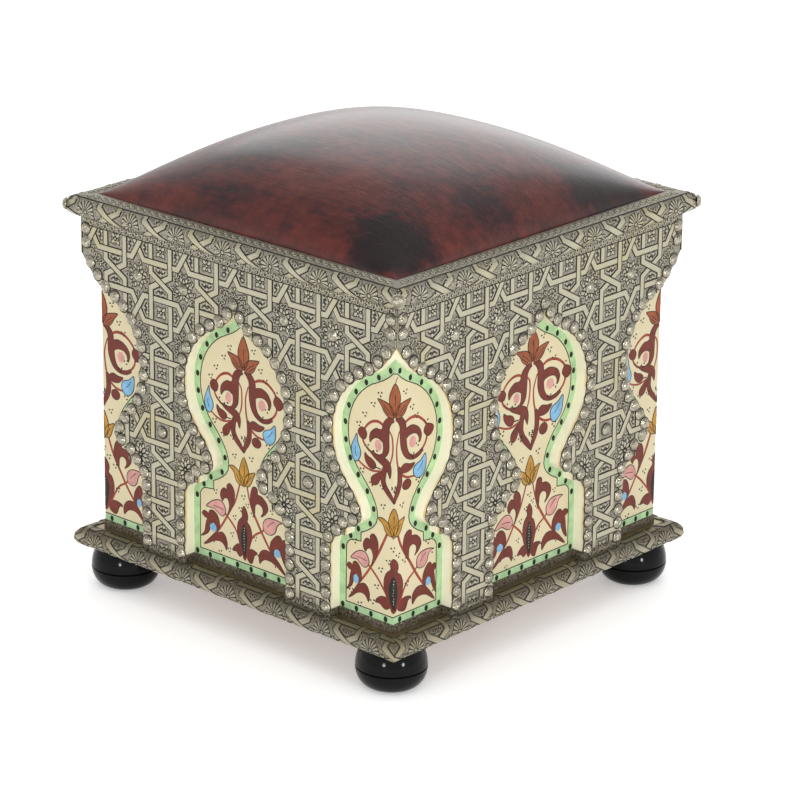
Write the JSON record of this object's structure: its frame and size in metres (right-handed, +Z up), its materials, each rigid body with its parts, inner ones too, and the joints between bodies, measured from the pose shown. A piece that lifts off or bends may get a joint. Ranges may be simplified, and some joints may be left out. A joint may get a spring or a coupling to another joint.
{
  "type": "upholstered stool",
  "caption": "Square box stool: painted panels behind a metal-faced keyhole-arch arcade, bun feet, bull-nosed top frame and domed leather seat.",
  "frame": {"origin": "on the floor, under the middle of the stool", "axes": "+Z up; -Y towards the front face, +X towards the right face; both are alike"},
  "size_m": [0.4098, 0.4098, 0.4448],
  "materials": {
    "painted_panel": "hand-painted, satin varnish",
    "arcade_wood": "painted cream on the cut edges",
    "nickel_sheet": "pressed nickel silver, aged, dark in the grooves",
    "frame_wood": "bare sawn softwood",
    "black_lacquer": "black gloss lacquer",
    "seat_leather": "mottled dark red, polished",
    "seat_foam": "open foam",
    "screw_steel": "plain steel"
  },
  "bodies": {
    "root": {"base_board": "frame_wood", "seat_board": "frame_wood", "foam_pad": "seat_foam", "leather_cover": "seat_leather", "panel_front": "painted_panel", "panel_right": "painted_panel", "panel_back": "painted_panel", "panel_left": "painted_panel", "arcade_front": "arcade_wood", "arcade_right": "arcade_wood", "arcade_back": "arcade_wood", "arcade_left": "arcade_wood", "arcade_sheet_front": "nickel_sheet", "arcade_sheet_right": "nickel_sheet", "arcade_sheet_back": "nickel_sheet", "arcade_sheet_left": "nickel_sheet", "base_sheet_front": "nickel_sheet", "base_sheet_right": "nickel_sheet", "base_sheet_back": "nickel_sheet", "base_sheet_left": "nickel_sheet", "top_rail_front": "frame_wood", "top_rail_right": "frame_wood", "top_rail_back": "frame_wood", "top_rail_left": "frame_wood", "top_sheet_front": "nickel_sheet", "top_sheet_right": "nickel_sheet", "top_sheet_back": "nickel_sheet", "top_sheet_left": "nickel_sheet", "skirting_front": "nickel_sheet", "skirting_right": "nickel_sheet", "skirting_back": "nickel_sheet", "skirting_left": "nickel_sheet", "seat_ledger_front": "frame_wood", "seat_ledger_right": "frame_wood", "seat_ledger_back": "frame_wood", "seat_ledger_left": "frame_wood", "seat_screw_front": "screw_steel", "seat_screw_right": "screw_steel", "seat_screw_back": "screw_steel", "seat_screw_left": "screw_steel", "corner_post_front_right": "frame_wood", "corner_post_back_right": "frame_wood", "corner_post_back_left": "frame_wood", "corner_post_front_left": "frame_wood", "corner_skirting_front_right": "nickel_sheet", "corner_skirting_back_right": "nickel_sheet", "corner_skirting_back_left": "nickel_sheet", "corner_skirting_front_left": "nickel_sheet", "foot_front_right": "black_lacquer", "foot_back_right": "black_lacquer", "foot_back_left": "black_lacquer", "foot_front_left": "black_lacquer", "foot_dowel_front_right": "frame_wood", "foot_dowel_back_right": "frame_wood", "foot_dowel_back_left": "frame_wood", "foot_dowel_front_left": "frame_wood"}
  },
  "joints": []
}
